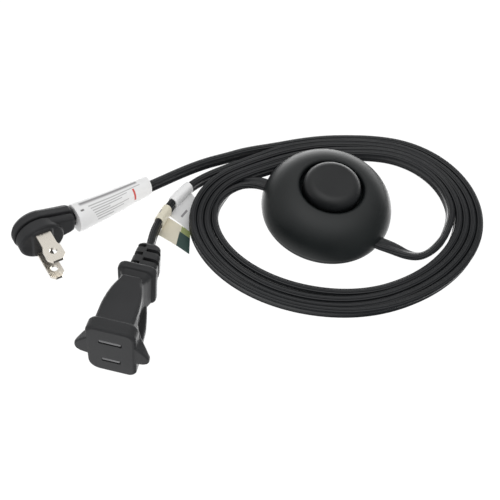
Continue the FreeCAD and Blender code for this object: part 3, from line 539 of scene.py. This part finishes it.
def cord_profile():
    """The cord's section as a curve that isn't rendered itself."""
    data = bpy.data.curves.new("cord_section", "CURVE")
    data.dimensions = "2D"
    data.fill_mode = "NONE"
    spline = data.splines.new("POLY")
    outline = cord_outline()
    spline.points.add(len(outline) - 1)
    for point, (x, y) in zip(spline.points, outline):
        point.co = (x * MM, y * MM, 0, 1)
    spline.use_cyclic_u = True
    section = linked("cord_section", data)
    section.hide_render = True
    return section


def coil_inset(angle):
    """How far the turns sag inwards at an angle of the oval."""
    for (first, low), (second, high) in zip(COIL_INSETS, COIL_INSETS[1:]):
        if first <= angle <= second:
            return low + (high - low) * (angle - first) / (second - first)
    return 0.0


def coil_pitch(side, top):
    """How far the oval grows each half turn, from the cosine and the sine of an angle round it."""
    middle, change = (FRONT_PITCH + BACK_PITCH) / 2, (FRONT_PITCH - BACK_PITCH) / 2
    return SIDE_PITCH * side ** 2 + top ** 2 * (middle - change * top)


def coil_points(start, end, zero):
    """Points on edge round the oval, which grows by a pitch each half turn from the angle zero."""
    points = []
    for step in range(int((end - start) / COIL_STEP) + 1):
        angle = start + step * COIL_STEP
        side, top = math.cos(math.radians(angle)), math.sin(math.radians(angle))
        grown = coil_pitch(side, top) * ((angle - zero) / 180 + 0.5) - coil_inset(angle % 360)
        grown += WANDER * top ** 2 * math.sin(math.radians(WANDER_WAVES * angle))
        lift = LIFT * (0.5 + 0.5 * math.sin(math.radians(LIFT_WAVES * angle)))
        turn = math.radians(angle - COIL_LEAN)
        reach = Vector(((COIL_AXES[0] + grown) * math.cos(turn), (COIL_AXES[1] + grown) * math.sin(turn)))
        place = COIL_CENTRE + COIL_STRETCH * (Matrix.Rotation(COIL_TURN, 2) @ reach)
        points.append((place.x, place.y, COIL_Z + lift, 90))
    return points


def make_cord(name, points, section, roll):
    """A cord through the points; roll, 1 or -1, is the way it turns from lying flat to standing on edge."""
    data = bpy.data.curves.new(name, "CURVE")
    data.dimensions = "3D"
    data.twist_mode = "Z_UP"
    data.bevel_mode = "OBJECT"
    data.bevel_object = section
    data.use_fill_caps = True
    data.resolution_u = CORD_RESOLUTION
    spline = data.splines.new("NURBS")
    spline.points.add(len(points) - 1)
    for point, (x, y, z, twist) in zip(spline.points, points):
        point.co = (x * MM, y * MM, z * MM, 1)
        point.tilt = math.radians(twist * roll)
    spline.order_u = 3
    spline.use_endpoint_u = True
    spline.use_smooth = True
    return linked(name, data)


def dress_cords(long_cord, short_cord):
    black = grained_plastic("cord_black", (0.0075, 0.0085, 0.010), 0.34,
                            grain=1200, depth=0.00003, sheen=0.5)
    for cord in (long_cord, short_cord):
        cord.data.materials.append(black)
        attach(cord, "housing")
    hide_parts("cord_right", "cord_coil", "cord_to_plug")
    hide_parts("cord_left", "cord_to_connector")


# Plug, built with its face at y 0 towards -Y

PLUG_R = 10.5
BOSS_R = 10.0
# Outline of the neck's end, where the disc begins and stops, and the middle that insets draw towards
NECK_END = ((15.7, 7.3), (17.0, 8.3), (17.4, 12.2), (16.9, 16.2), (15.6, 17.3))
ARC_FROM, ARC_TO, ARC_STEPS = 72, 328, 44
MIDDLE = (3.0, 11.3)
# Rings of each layer: y, and the inset from the outline or, on the boss, the radius
BACK_RINGS = ((5.8, 0.4), (6.1, 0.0), (8.7, 0.0), (10.0, 0.8), (10.9, 2.2), (11.3, 4.0))
GROOVE_RINGS = ((3.0, 2.2), (8.0, 2.2))
FRONT_RINGS = ((1.6, 2.6), (2.0, 1.6), (3.0, 1.0), (4.6, 0.8), (4.9, 1.1))
BOSS_RINGS = ((0.0, 9.1), (0.25, 9.6), (0.8, BOSS_R), (4.9, BOSS_R))
BOSS_POINTS = 64
PAD_HALF, PAD_LOW, PAD_HIGH, PAD_RADIUS = 4.8, 1.9, 19.1, 2.5
PAD_RINGS = ((-0.8, 0.6), (-0.4, 0.1), (1.5, 0.0))


def drawn_in(point, inset):
    """A point of the plug's outline, moved towards its middle by an inset."""
    x, z = point
    share = inset / math.hypot(x - MIDDLE[0], z - MIDDLE[1])
    return x + (MIDDLE[0] - x) * share, z + (MIDDLE[1] - z) * share


def comma(inset):
    """The plug's outline from the front: a disc that runs out into the neck on the cord's side."""
    disc = []
    for i in range(ARC_STEPS + 1):
        a = math.radians(ARC_FROM + (ARC_TO - ARC_FROM) * i / ARC_STEPS)
        disc.append((PLUG_R * math.cos(a), PLUG_MID + PLUG_R * math.sin(a)))
    return [drawn_in(point, inset) for point in (*disc, *NECK_END)]


def circle(radius):
    angles = [2 * math.pi * i / BOSS_POINTS for i in range(BOSS_POINTS)]
    return [(radius * math.cos(a), PLUG_MID + radius * math.sin(a)) for a in angles]


def plug_solids():
    """Back plate with a round rim, a groove, the front layer, and the boss with a pad round the blades."""
    layers = [[along_y(comma(inset), y) for y, inset in rings]
              for rings in (BACK_RINGS, GROOVE_RINGS, FRONT_RINGS)]
    boss = [along_y(circle(radius), y) for y, radius in BOSS_RINGS]
    pad = [along_y(rounded(-PAD_HALF + i, PAD_HALF - i, PAD_LOW + i, PAD_HIGH - i, PAD_RADIUS), y)
           for y, i in PAD_RINGS]
    return [*layers, boss, pad]


# Connector, built with its face at y 0 towards -Y

HEAD_HALF, HEAD_HIGH, HEAD_RADII = 10, 30, (5.0, 3.4, 4.0, 4.4)
HEAD_RINGS = ((0.0, 1.3), (0.3, 0.6), (1.1, 0.0), (5.0, 0.0), (5.9, 0.6), (6.5, 1.8))
# Wing: distance from the middle, then the front, back, low and high edges
WING = ((5.5, 0.4, 11.5, 8.0, 28.6), (7.6, 0.4, 10.4, 9.0, 28.2), (8.4, 0.4, 9.0, 9.4, 22.6),
        (10.0, 0.4, 6.8, 9.8, 21.0), (12.8, 0.5, 4.4, 10.2, 18.2), (14.4, 0.7, 3.0, 11.0, 16.2),
        (15.1, 1.0, 2.8, 12.2, 14.8))
WING_RADIUS = 0.8
# Plates: y and half width, and the levels with their insets
TOP_PLATE = ((3.0, 7.2), (6.0, 7.3), (9.0, 7.5), (12.0, 7.6), (15.0, 7.4), (18.0, 7.0), (21.0, 6.4),
             (23.5, 5.6), (25.5, 4.8), (27.5, 4.3))
TOP_LEVELS = ((24.0, 0.6), (24.8, 0.0), (28.4, 0.0), (29.6, 1.0))
LOWER_PLATE = ((3.0, 8.8), (8.0, 8.9), (12.6, 8.7), (16.0, 8.5), (20.0, 8.2), (24.0, 7.3), (27.4, 6.4),
               (30.5, 5.4), (33.8, 4.6))
LOWER_LEVELS = ((0.3, 1.2), (0.9, 0.3), (1.6, 0.0), (4.6, 0.0), (5.3, 0.5))
LEAST_HALF = 0.3
# Core between the plates: ranges of x, y and z
WEB = ((-5.2, 5.2), (3.0, 21.0), (3.0, 26.0))
SPINE = ((-3.6, 3.6), (20.0, 26.0), (3.2, 26.0))
# Neck: y, half width, low and high edge, and corner radius
NECK = ((22.0, 4.5, 3.0, 28.2, 2.0), (25.5, 4.5, 3.4, 27.6, 2.0), (28.0, 4.8, 4.0, 26.3, 2.3),
        (30.5, 5.6, 4.2, 25.6, 2.7), (33.0, 6.6, 4.2, 25.9, 3.0), (35.0, 7.2, 4.2, 26.0, 3.0))
COLLAR_HALF, COLLAR_LOW, COLLAR_HIGH, COLLAR_RADIUS = 8.2, 4.3, 27.0, 3.6
COLLAR_RINGS = ((33.2, 1.0), (33.6, 0.3), (34.2, 0.0), (36.0, 0.0), (36.6, 0.4), (37.0, 1.2))
# Strain relief: y, then the left, right, low and high edges
RELIEF = ((36.4, -5.4, 6.2, 7.5, 21.8), (41.0, -5.3, 6.5, 7.8, 21.5), (47.0, -5.2, 6.3, 8.2, 21.0),
          (52.6, -5.1, 4.9, 8.8, 20.4), (53.8, -4.4, 4.2, 9.6, 19.6))
RELIEF_RADIUS = 2.4
# Cuts in the relief: y and the side of each, and on each side the inner edge above and below the step
RELIEF_CUTS = ((41.0, -1), (46.5, -1), (51.4, -1), (43.8, 1), (49.2, 1))
CUT_EDGES = {-1: (-1.2, -3.3), 1: (-0.4, 3.6)}
CUT_LOW, CUT_STEP, CUT_HIGH, CUT_REACH, CUT_HALF = 6.0, 17.2, 24.0, 9.0, 0.9
# Slots: half width, low and high edge; and the groove behind the top plate as ranges of x, y and z
SLOTS = ((4.6, 20.0, 22.4), (3.85, 7.6, 10.0))
SLOT_DEPTH = (-2.0, 13.0)
TOP_GROOVE = ((-5.2, 5.2), (27.9, 28.7), (26.4, 32.0))
# Blocks of painted light in the slots' upper parts, a lighter grey for their lit insides: gaps at the left
# and right, the rise from the low edge, and rings
SLOT_LIGHT_LEFT, SLOT_LIGHT_RIGHT, SLOT_LIGHT_RISE, SLOT_LIGHT_RADIUS = 0.1, 0.3, 0.95, 0.4
SLOT_LIGHT_RINGS = ((0.0, 0.15), (0.15, 0.0), (5.0, 0.0))


def plate_ring(widths, level, inset, slope=0.0):
    """A ring about one level from pairs of y and half width; slope lifts it behind the head."""
    right = [(max(LEAST_HALF, half - inset), y, level + slope * max(0.0, y - HEAD_T)) for y, half in widths]
    return right + [(-x, y, z) for x, y, z in reversed(right)]


def connector_head():
    return [ring_y(-HEAD_HALF, HEAD_HALF, 0, HEAD_HIGH, HEAD_RADII, y, inset) for y, inset in HEAD_RINGS]


def connector_wing(side):
    """A gusset from the plate's edge that runs out to a blunt tip beside the head."""
    return [[(side * x, y, z) for y, z in rounded(front, back, low, high, WING_RADIUS)]
            for x, front, back, low, high in WING]


def connector_solids():
    floor_slope = math.tan(math.radians(CONNECTOR_TILT))
    top = [plate_ring(TOP_PLATE, level, inset) for level, inset in TOP_LEVELS]
    lower = [plate_ring(LOWER_PLATE, level, inset, floor_slope) for level, inset in LOWER_LEVELS]
    neck = [ring_y(-half, half, low, high, radius, y) for y, half, low, high, radius in NECK]
    collar = [ring_y(-COLLAR_HALF, COLLAR_HALF, COLLAR_LOW, COLLAR_HIGH, COLLAR_RADIUS, y, inset)
              for y, inset in COLLAR_RINGS]
    relief = [ring_y(left, right, low, high, RELIEF_RADIUS, y) for y, left, right, low, high in RELIEF]
    return [connector_head(), connector_wing(-1), connector_wing(1), top, lower, block(*WEB), block(*SPINE),
            neck, collar, relief]


def connector_cuts():
    """The two slots of the face, the groove behind the top plate, and the cuts that let the relief bend."""
    cuts = [block((-half, half), SLOT_DEPTH, levels) for half, *levels in SLOTS]
    cuts.append(block(*TOP_GROOVE))
    for y, side in RELIEF_CUTS:
        upper, lower = CUT_EDGES[side]
        reach = CUT_REACH * side
        outline = [(upper, CUT_HIGH), (reach, CUT_HIGH), (reach, CUT_LOW), (lower, CUT_LOW),
                   (lower, CUT_STEP), (upper, CUT_STEP)]
        cuts.append([along_y(outline, y - CUT_HALF), along_y(outline, y + CUT_HALF)])
    return cuts


def make_slot_light():
    """Lighter grey blocks painted as the lit inside of the slots, just behind the face in the upper part of
    each slot.
    """
    solids = [[ring_y(SLOT_LIGHT_LEFT - half, half - SLOT_LIGHT_RIGHT, low + SLOT_LIGHT_RISE, high, SLOT_LIGHT_RADIUS, y, inset)
               for y, inset in SLOT_LIGHT_RINGS] for half, low, high in SLOTS]
    slot_light = linked("slot_painted_light", closed_mesh("slot_painted_light", solids))
    slot_light.data.transform(Matrix.Scale(MM, 4) @ CONNECTOR_PLACE)
    smooth(slot_light.data, SLOT_LIGHT_EDGE)
    # Painted light: a grey lighter than the moulding, for the lit inside of each slot
    slot_light.data.materials.append(grained_plastic("slot_light_grey", (0.15, 0.15, 0.155), 0.4, sheen=0.5))
    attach(slot_light, "housing")
    return slot_light


def make_ends():
    """The mouldings of the plug and the connector, and the painted light inside the connector's slots."""
    plug = moulded("plug_moulding", plug_solids(), PLUG_PLACE, PLUG_VOXEL)
    connector = moulded("connector_moulding", connector_solids(), CONNECTOR_PLACE, CONNECTOR_VOXEL,
                        connector_cuts())
    slot_light = make_slot_light()
    black = grained_plastic("moulding_black", (0.025, 0.0255, 0.027), 0.5, grain=2200)
    for piece, node in ((plug, "plug_body"), (connector, "connector_body")):
        piece.data.materials.append(black)
        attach(piece, "housing")
        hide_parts(node)
    return plug, connector, slot_light


# Labels

WHITE = (0.97, 0.97, 0.97)
FLAG_WHITE = (0.9, 0.9, 0.9)
CREAM = (0.84, 0.79, 0.64)
GREY = (0.33, 0.32, 0.33)
PALE_GREY = (0.55, 0.55, 0.55)
DARK = (0.05, 0.045, 0.04)
RED = (0.72, 0.08, 0.06)
OLIVE = (0.36, 0.42, 0.16)
DARK_GREEN = (0.03, 0.07, 0.06)
# Sleeves: start and end before the cord's far end, and (width, height, lift) at both
PLUG_WRAP = (0.6, 39.5, ((12.4, 13.2, 0.4), (7.4, 10.0, 1.5)))
WHITE_SLEEVE = (33.0, 45.6, ((4.8, 7.6, 0.2), (4.8, 7.6, 0.3)))
CREAM_SLEEVE = (19.4, 28.6, ((4.6, 7.4, 0.1), (4.6, 7.4, 0.1)))
SLEEVE_ROUND = 40
SLEEVE_RINGS = 26
SLEEVE_SQUARENESS = 0.8
SLEEVE_TUCK = 0.94
WRAP_WAVE = 0.012
RIPPLES_ROUND, RIPPLES_ALONG = 3, 9
# Flags: two corners on the sleeve and two outside, and how far the sheet arches
WHITE_FLAG = ((-59.4, -28.5, 2.6), (-59.4, -45.6, 2.2), (-46.4, -47.0, 0.5), (-46.4, -33.0, 0.5))
CREAM_FLAG = ((-58.4, -46.6, 2.0), (-57.0, -57.0, 1.8), (-40.0, -57.0, 0.4), (-46.2, -46.8, 0.6))
WHITE_ARCH = 0.8
CREAM_ARCH = 0.6
ARCH_LEAST = 0.4
FLAG_CELLS = 16
FLAG_T = 0.25
# Fields of the labels: colour, ranges of UV along and across, and the width of the soft edge
TOP_BAND = (GREY, (0.07, 0.84), (0.205, 0.24), 0.012)
RED_BAND = (RED, (0.74, 0.765), (0.30, 0.50), 0.005)
OPENING = (DARK, (0.045, 0.085), (0.285, 0.305), 0.008)
FLAG_BAR = (GREY, (0.4, 0.48), (0.5, 0.8), 0.01)
CREAM_BAR = (GREY, (0.35, 0.6), (0.15, 0.2), 0.01)
OLIVE_FIELD = (OLIVE, (0.62, 1.1), (-0.1, 0.3), 0.01)
GREEN_FIELD = (DARK_GREEN, (0.58, 1.1), (0.3, 1.1), 0.01)
# Rows of bars on the plug's label, in shares of its length and round
BAR_ENDS = (0.86, 0.66, 0.58, 0.40, 0.66, 0.58, 0.44)
BAR_START, BAR_SHIFT = 0.15, 0.012
BAR_LOW, BAR_STEP, BAR_W = 0.272, 0.036, 0.014
BAR_EDGE = 0.004


def centreline(cord):
    """The points that a cord's own line runs through, in metres."""
    data = cord.data.copy()
    data.bevel_mode = "ROUND"
    data.bevel_object = None
    line = linked(cord.name + "_line", data)
    graph = bpy.context.evaluated_depsgraph_get()
    mesh = bpy.data.meshes.new_from_object(line.evaluated_get(graph))
    points = [v.co.copy() for v in mesh.vertices]
    bpy.data.objects.remove(line)
    bpy.data.meshes.remove(mesh)
    return points


def place_from_end(points, distance):
    """The point and the direction at a distance before the line's far end."""
    left = distance * MM
    for first, second in zip(reversed(points), reversed(points[:-1])):
        step = (second - first).length
        if left <= step:
            return first.lerp(second, left / step), (first - second).normalized()
        left -= step
    raise ValueError("the line is shorter than that")


def squarish(share, size):
    """A sine or cosine as a distance across an oval with full corners."""
    return math.copysign(abs(share) ** SLEEVE_SQUARENESS, share) * size / 2


def sleeve(name, cord, start, end, sizes, wave=0.0):
    """A wrap round a cord, from start to end before its far end; wave ripples its middle."""
    points = centreline(cord)
    rings = []
    for r in range(SLEEVE_RINGS):
        share = r / (SLEEVE_RINGS - 1)
        middle, along = place_from_end(points, start + (end - start) * share)
        width, height, lift = (a + (b - a) * share for a, b in zip(*sizes))
        across = along.cross(UP).normalized()
        rise = across.cross(along).normalized()
        tuck = SLEEVE_TUCK if r in (0, SLEEVE_RINGS - 1) else 1.0
        ring = []
        for i in range(SLEEVE_ROUND):
            a = 2 * math.pi * i / SLEEVE_ROUND
            phase = RIPPLES_ROUND * a + RIPPLES_ALONG * share
            ripple = 1 + wave * math.sin(phase) * math.sin(math.pi * share)
            side = squarish(math.cos(a), width) * ripple * tuck
            up = squarish(math.sin(a), height) * ripple * tuck
            ring.append(middle + across * side * MM + rise * (up + lift) * MM)
        rings.append(ring)
    mesh = closed_mesh(name, [rings])
    grid_uv(mesh, SLEEVE_RINGS, SLEEVE_ROUND)
    smooth(mesh, LABEL_EDGE)
    return linked(name, mesh)


def grid_uv(mesh, rows, columns):
    """UV of a loft: along its rings, and round them."""
    layer = mesh.uv_layers.new(name="UVMap")
    for face in mesh.polygons:
        around = [mesh.loops[i].vertex_index % columns for i in face.loop_indices]
        wraps = max(around) - min(around) > columns / 2
        for i, column in zip(face.loop_indices, around):
            row = mesh.loops[i].vertex_index // columns
            column = column + columns if wraps and column < columns / 2 else column
            layer.data[i].uv = (row / (rows - 1), column / columns)


def flag(name, corners, arch):
    """A thin sheet between four corners, from the sleeve's edge outwards, arched a little."""
    points, faces = [], []
    near_a, near_b, far_b, far_a = (Vector(c) for c in corners)
    for i in range(FLAG_CELLS + 1):
        u = i / FLAG_CELLS
        for j in range(FLAG_CELLS + 1):
            v = j / FLAG_CELLS
            point = near_a.lerp(far_a, u).lerp(near_b.lerp(far_b, u), v)
            point.z += arch * math.sin(math.pi * u) * (ARCH_LEAST + (1 - ARCH_LEAST) * v)
            points.append(point * MM)
    row = FLAG_CELLS + 1
    for i in range(FLAG_CELLS):
        for j in range(FLAG_CELLS):
            faces.append((i * row + j, (i + 1) * row + j, (i + 1) * row + j + 1, i * row + j + 1))
    mesh = bpy.data.meshes.new(name)
    mesh.from_pydata(points, [], faces)
    layer = mesh.uv_layers.new(name="UVMap")
    for loop in mesh.loops:
        i, j = divmod(loop.vertex_index, row)
        layer.data[loop.index].uv = (i / FLAG_CELLS, j / FLAG_CELLS)
    piece = linked(name, mesh)
    thick = piece.modifiers.new("thick", "SOLIDIFY")
    thick.thickness = FLAG_T * MM
    piece.data = finished_mesh(piece)
    smooth(piece.data, LABEL_EDGE)
    return piece


def label_bars():
    """A grey band along the top, rows of greyed bars, a thin red band and a small opening near the plug."""
    bars = []
    for row, end in enumerate(BAR_ENDS):
        low = BAR_LOW + BAR_STEP * row
        bars.append((PALE_GREY, (BAR_START + BAR_SHIFT * row, end), (low, low + BAR_W), BAR_EDGE))
    return [TOP_BAND, *bars, RED_BAND, OPENING]


def make_labels(to_plug, to_connector):
    """The wrap beside the plug, and the white and the cream label beside the connector with their flags."""
    wrap = sleeve("plug_wrap", to_plug, *PLUG_WRAP, wave=WRAP_WAVE)
    white = sleeve("white_sleeve", to_connector, *WHITE_SLEEVE)
    cream = sleeve("cream_sleeve", to_connector, *CREAM_SLEEVE)
    white_flag = flag("white_flag", WHITE_FLAG, WHITE_ARCH)
    cream_flag = flag("cream_flag", CREAM_FLAG, CREAM_ARCH)
    wrap.data.materials.append(painted("wrap_film", WHITE, label_bars()))
    white.data.materials.append(painted("white_film", WHITE, []))
    white_flag.data.materials.append(painted("white_flag_film", FLAG_WHITE, [FLAG_BAR]))
    cream.data.materials.append(painted("cream_film", CREAM, [CREAM_BAR]))
    cream_flag.data.materials.append(painted("cream_flag_film", CREAM, [OLIVE_FIELD, GREEN_FIELD]))
    for piece, node, slot in ((wrap, "plug_label", "white_label"), (white, "white_tag", "white_label"),
                              (white_flag, "white_tag", "white_label"), (cream, "cream_tag", "cream_label"),
                              (cream_flag, "cream_tag", "cream_label")):
        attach(piece, "housing")
        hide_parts(node)
    return [wrap, white, white_flag, cream, cream_flag]


# Solids of the frame

def dress_solids(frame):
    """Gives the solids that are shown as they are their slot's material and smooth shading."""
    materials = slot_materials()
    for row in frame["record"]["subparts"]:
        if row["material_slot"] in materials:
            mesh = frame["nodes"][row["node"]].data
            mesh.materials.clear()
            mesh.materials.append(materials[row["material_slot"]])
            smooth(mesh, SOLID_EDGE)


def make_springs(nodes):
    """Copies of the button's return springs, attached to the housing."""
    for number in (1, 2):
        node = nodes[f"button_spring_{number}"]
        spring = linked(f"return_spring_{number}", node.data.copy())
        spring.matrix_world = node.matrix_world
        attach(spring, "housing")
        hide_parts(node.name)
        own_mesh(spring)


# Build

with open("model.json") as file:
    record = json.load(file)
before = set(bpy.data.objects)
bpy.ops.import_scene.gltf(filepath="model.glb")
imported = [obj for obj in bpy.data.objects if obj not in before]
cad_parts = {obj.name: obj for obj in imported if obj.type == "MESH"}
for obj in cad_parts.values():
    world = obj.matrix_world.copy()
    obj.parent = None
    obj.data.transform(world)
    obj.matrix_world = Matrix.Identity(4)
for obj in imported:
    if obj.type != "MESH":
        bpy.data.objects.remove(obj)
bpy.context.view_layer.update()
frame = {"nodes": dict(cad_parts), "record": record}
make_camera()
section = cord_profile()
long_cord = make_cord("cord_b", [*SWITCH_RIGHT, *coil_points(*LONG_TURNS), *TO_PLUG], section, -1)
short_cord = make_cord("cord_a", [*SWITCH_LEFT, *coil_points(*SHORT_TURNS), *TO_CONNECTOR], section, 1)
make_floor()
make_lights()
plug, connector, slot_light = make_ends()
dress_solids(frame)
make_springs(frame["nodes"])
dress_cords(long_cord, short_cord)
wrap, *tags = make_labels(long_cord, short_cord)
